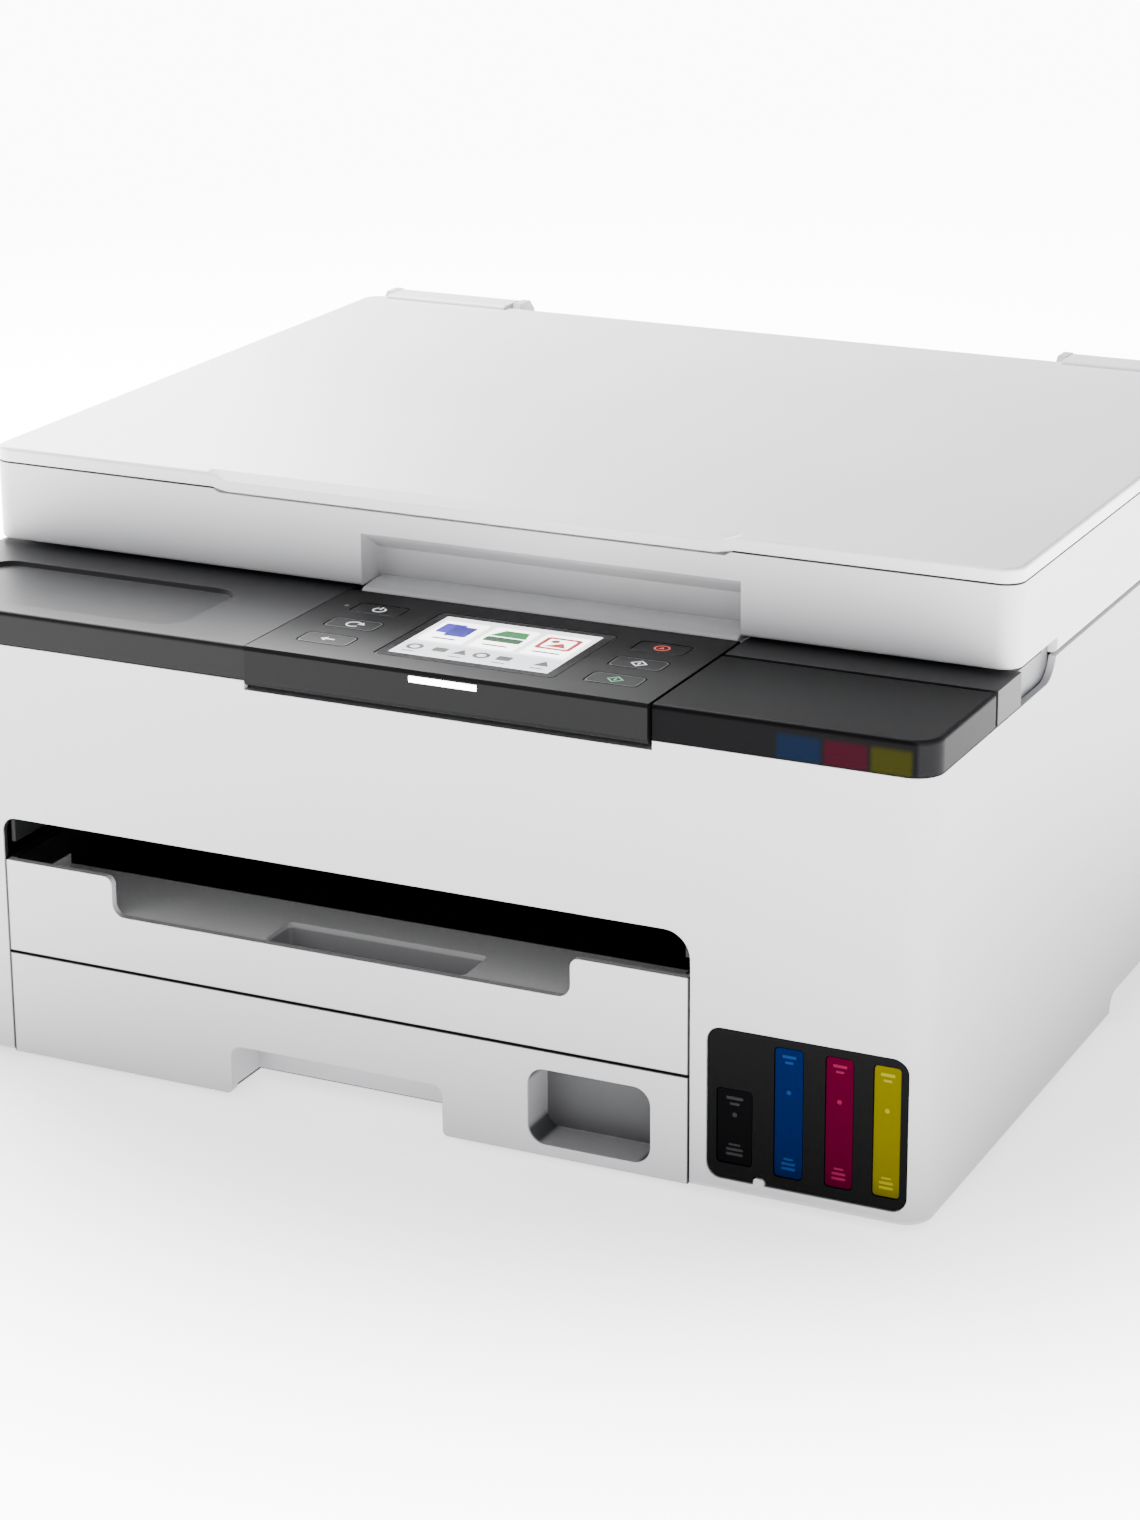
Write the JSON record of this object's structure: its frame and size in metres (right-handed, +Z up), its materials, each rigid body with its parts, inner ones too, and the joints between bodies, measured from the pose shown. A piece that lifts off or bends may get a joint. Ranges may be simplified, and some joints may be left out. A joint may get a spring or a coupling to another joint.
{
  "type": "inkjet printer",
  "caption": "Flatbed inkjet printer with refillable ink tanks, front paper cassette, sliding output tray, tilting control panel and hinged scanner and lid.",
  "frame": {"origin": "centre of the footprint on the table", "axes": "+Z up, -Y towards the user (front face), +X to the user's right"},
  "size_m": [0.374, 0.379, 0.1942],
  "materials": {
    "white_plastic": "fine matte texture",
    "white_smooth": "satin",
    "dark_cover": "smoked gloss",
    "panel_black": "piano gloss",
    "smoked_window": "smoked gloss",
    "grey_trim": "matte",
    "black_plastic": "matte",
    "grey_plastic": "matte",
    "rubber": "matte",
    "steel": "brushed",
    "zinc": "zinc plated",
    "glass": "clear",
    "screen_glass": "clear",
    "light_white": "lit diffuser",
    "tank_clear": "translucent",
    "ink_black": "gloss",
    "ink_cyan": "gloss",
    "ink_magenta": "gloss",
    "ink_yellow": "gloss",
    "foam_white": "soft foam and film",
    "pcb_green": "board",
    "belt": "matte"
  },
  "bodies": {
    "chassis": {"main_housing": "white_plastic", "base_frame": "black_plastic", "rubber_feet": "rubber", "left_top_cover": "dark_cover", "filler_deck": "dark_cover", "grip_trims": "grey_trim", "tank_window": "smoked_window", "tank_black": "tank_clear", "tank_cyan": "tank_clear", "tank_magenta": "tank_clear", "tank_yellow": "tank_clear", "output_guide": "black_plastic", "chassis_plate": "zinc", "encoder_strip": "tank_clear", "carriage_belt": "belt", "carriage_motor": "steel", "platen": "black_plastic", "feed_motor": "steel", "purge_unit": "black_plastic", "power_supply": "black_plastic", "ac_inlet": "black_plastic", "main_board": "pcb_green", "ink_tubes": "tank_clear"},
    "tank_cover": {"tank_cover": "dark_cover"},
    "cap_black": {"cap_black": "ink_black"},
    "cap_cyan": {"cap_cyan": "ink_cyan"},
    "cap_magenta": {"cap_magenta": "ink_magenta"},
    "cap_yellow": {"cap_yellow": "ink_yellow"},
    "panel": {"control_panel": "panel_black", "touch_screen": "screen_glass", "status_light": "light_white"},
    "power_key": {"power_key": "panel_black"},
    "home_key": {"home_key": "panel_black"},
    "back_key": {"back_key": "panel_black"},
    "stop_key": {"stop_key": "panel_black"},
    "mono_start_key": {"mono_start_key": "panel_black"},
    "colour_start_key": {"colour_start_key": "panel_black"},
    "scanner": {"scanner_housing": "white_plastic", "platen_glass": "glass", "scan_rail": "steel", "lid_hinges": "white_smooth"},
    "scan_bar": {"scan_bar": "black_plastic"},
    "lid": {"document_lid": "white_smooth", "pressure_pad": "foam_white"},
    "output_tray": {"output_tray": "white_plastic"},
    "cassette": {"cassette": "white_plastic"},
    "guide_left": {"guide_left": "grey_plastic"},
    "guide_right": {"guide_right": "grey_plastic"},
    "guide_end": {"guide_end": "grey_plastic"},
    "carriage": {"carriage": "black_plastic", "printhead": "grey_plastic"},
    "motor_pulley": {"motor_pulley": "grey_plastic"},
    "idler_pulley": {"idler_pulley": "grey_plastic"},
    "feed_roller": {"feed_roller": "rubber"},
    "eject_roller": {"eject_roller": "rubber"},
    "transfer_gear": {"transfer_gear": "grey_plastic"},
    "pickup_arm": {"pickup_arm": "grey_plastic"},
    "pickup_roller": {"pickup_roller": "rubber"},
    "maintenance_cartridge": {"maintenance_cartridge": "grey_plastic"},
    "rear_cover": {"rear_cover": "white_plastic"}
  },
  "joints": [
    {"name": "tank_cover_hinge", "type": "hinge", "parent": "chassis", "child": "tank_cover", "pos_m": [0.14, -0.1348, 0.1579], "axis": [-1, 0, 0], "range_deg": [0, 90]},
    {"name": "cap_black_hinge", "type": "hinge", "parent": "chassis", "child": "cap_black", "pos_m": [0.1234, -0.14, 0.126], "axis": [-1, 0, 0], "range_deg": [0, 90]},
    {"name": "cap_cyan_hinge", "type": "hinge", "parent": "chassis", "child": "cap_cyan", "pos_m": [0.1423, -0.14, 0.126], "axis": [-1, 0, 0], "range_deg": [0, 90]},
    {"name": "cap_magenta_hinge", "type": "hinge", "parent": "chassis", "child": "cap_magenta", "pos_m": [0.1583, -0.14, 0.126], "axis": [-1, 0, 0], "range_deg": [0, 90]},
    {"name": "cap_yellow_hinge", "type": "hinge", "parent": "chassis", "child": "cap_yellow", "pos_m": [0.175, -0.14, 0.126], "axis": [-1, 0, 0], "range_deg": [0, 90]},
    {"name": "panel_tilt", "type": "hinge", "parent": "chassis", "child": "panel", "pos_m": [0.0255, -0.1865, 0.1485], "axis": [1, 0, 0], "range_deg": [0, 45]},
    {"name": "power_key_press", "type": "slide", "parent": "panel", "child": "power_key", "axis": [0, 0, -1], "range_m": [0, 0.0005], "stiffness_N_per_m": 400},
    {"name": "home_key_press", "type": "slide", "parent": "panel", "child": "home_key", "axis": [0, 0, -1], "range_m": [0, 0.0005], "stiffness_N_per_m": 400},
    {"name": "back_key_press", "type": "slide", "parent": "panel", "child": "back_key", "axis": [0, 0, -1], "range_m": [0, 0.0005], "stiffness_N_per_m": 400},
    {"name": "stop_key_press", "type": "slide", "parent": "panel", "child": "stop_key", "axis": [0, 0, -1], "range_m": [0, 0.0005], "stiffness_N_per_m": 400},
    {"name": "mono_start_key_press", "type": "slide", "parent": "panel", "child": "mono_start_key", "axis": [0, 0, -1], "range_m": [0, 0.0005], "stiffness_N_per_m": 400},
    {"name": "colour_start_key_press", "type": "slide", "parent": "panel", "child": "colour_start_key", "axis": [0, 0, -1], "range_m": [0, 0.0005], "stiffness_N_per_m": 400},
    {"name": "scanner_hinge", "type": "hinge", "parent": "chassis", "child": "scanner", "pos_m": [0, 0.176, 0.1573], "axis": [-1, 0, 0], "range_deg": [0, 40]},
    {"name": "scan_bar_slide", "type": "slide", "parent": "scanner", "child": "scan_bar", "axis": [1, 0, 0], "range_m": [0, 0.3]},
    {"name": "lid_hinge", "type": "hinge", "parent": "scanner", "child": "lid", "pos_m": [0, 0.166, 0.189], "axis": [-1, 0, 0], "range_deg": [0, 80]},
    {"name": "output_tray_slide", "type": "slide", "parent": "chassis", "child": "output_tray", "axis": [0, -1, 0], "range_m": [0, 0.12]},
    {"name": "cassette_slide", "type": "slide", "parent": "chassis", "child": "cassette", "axis": [0, -1, 0], "range_m": [0, 0.26]},
    {"name": "guide_left_slide", "type": "slide", "parent": "cassette", "child": "guide_left", "axis": [1, 0, 0], "range_m": [0, 0.05]},
    {"name": "guide_right_slide", "type": "slide", "parent": "cassette", "child": "guide_right", "axis": [-1, 0, 0], "range_m": [0, 0.05]},
    {"name": "guide_end_slide", "type": "slide", "parent": "cassette", "child": "guide_end", "axis": [0, 1, 0], "range_m": [0, 0.08]},
    {"name": "carriage_slide", "type": "slide", "parent": "chassis", "child": "carriage", "axis": [-1, 0, 0], "range_m": [0, 0.24], "deforming": ["ink_tubes"]},
    {"name": "motor_pulley_spin", "type": "hinge", "parent": "chassis", "child": "motor_pulley", "pos_m": [-0.168, 0.093, 0.118], "axis": [0, 1, 0], "range_deg": [-5, 2200]},
    {"name": "idler_pulley_spin", "type": "hinge", "parent": "chassis", "child": "idler_pulley", "pos_m": [0.168, 0.093, 0.118], "axis": [0, 1, 0], "range_deg": [-5, 2200]},
    {"name": "feed_roller_spin", "type": "hinge", "parent": "chassis", "child": "feed_roller", "pos_m": [-0.02, 0.072, 0.079], "axis": [1, 0, 0], "continuous": true},
    {"name": "transfer_gear_spin", "type": "hinge", "parent": "chassis", "child": "transfer_gear", "pos_m": [-0.154, 0.039, 0.079], "axis": [1, 0, 0], "continuous": true},
    {"name": "eject_roller_spin", "type": "hinge", "parent": "chassis", "child": "eject_roller", "pos_m": [-0.02, 0.006, 0.079], "axis": [1, 0, 0], "continuous": true},
    {"name": "pickup_arm_swing", "type": "hinge", "parent": "chassis", "child": "pickup_arm", "pos_m": [-0.015, 0.038, 0.06], "axis": [-1, 0, 0], "range_deg": [0, 12]},
    {"name": "pickup_roller_spin", "type": "hinge", "parent": "pickup_arm", "child": "pickup_roller", "pos_m": [-0.0155, 0.084, 0.053], "axis": [1, 0, 0], "continuous": true},
    {"name": "maintenance_cartridge_slide", "type": "slide", "parent": "chassis", "child": "maintenance_cartridge", "axis": [0, 1, 0], "range_m": [0, 0.09]},
    {"name": "rear_cover_hinge", "type": "hinge", "parent": "chassis", "child": "rear_cover", "pos_m": [-0.0155, 0.184, 0.044], "axis": [-1, 0, 0], "range_deg": [0, 80]}
  ],
  "couplings": [
    {"joint": "guide_right_slide", "follows": "guide_left_slide", "ratio": 1},
    {"joint": "motor_pulley_spin", "follows": "carriage_slide", "rad_per_m": 153.85},
    {"joint": "idler_pulley_spin", "follows": "carriage_slide", "rad_per_m": 153.85},
    {"joint": "transfer_gear_spin", "follows": "feed_roller_spin", "ratio": -0.94118},
    {"joint": "eject_roller_spin", "follows": "feed_roller_spin", "ratio": 1}
  ]
}
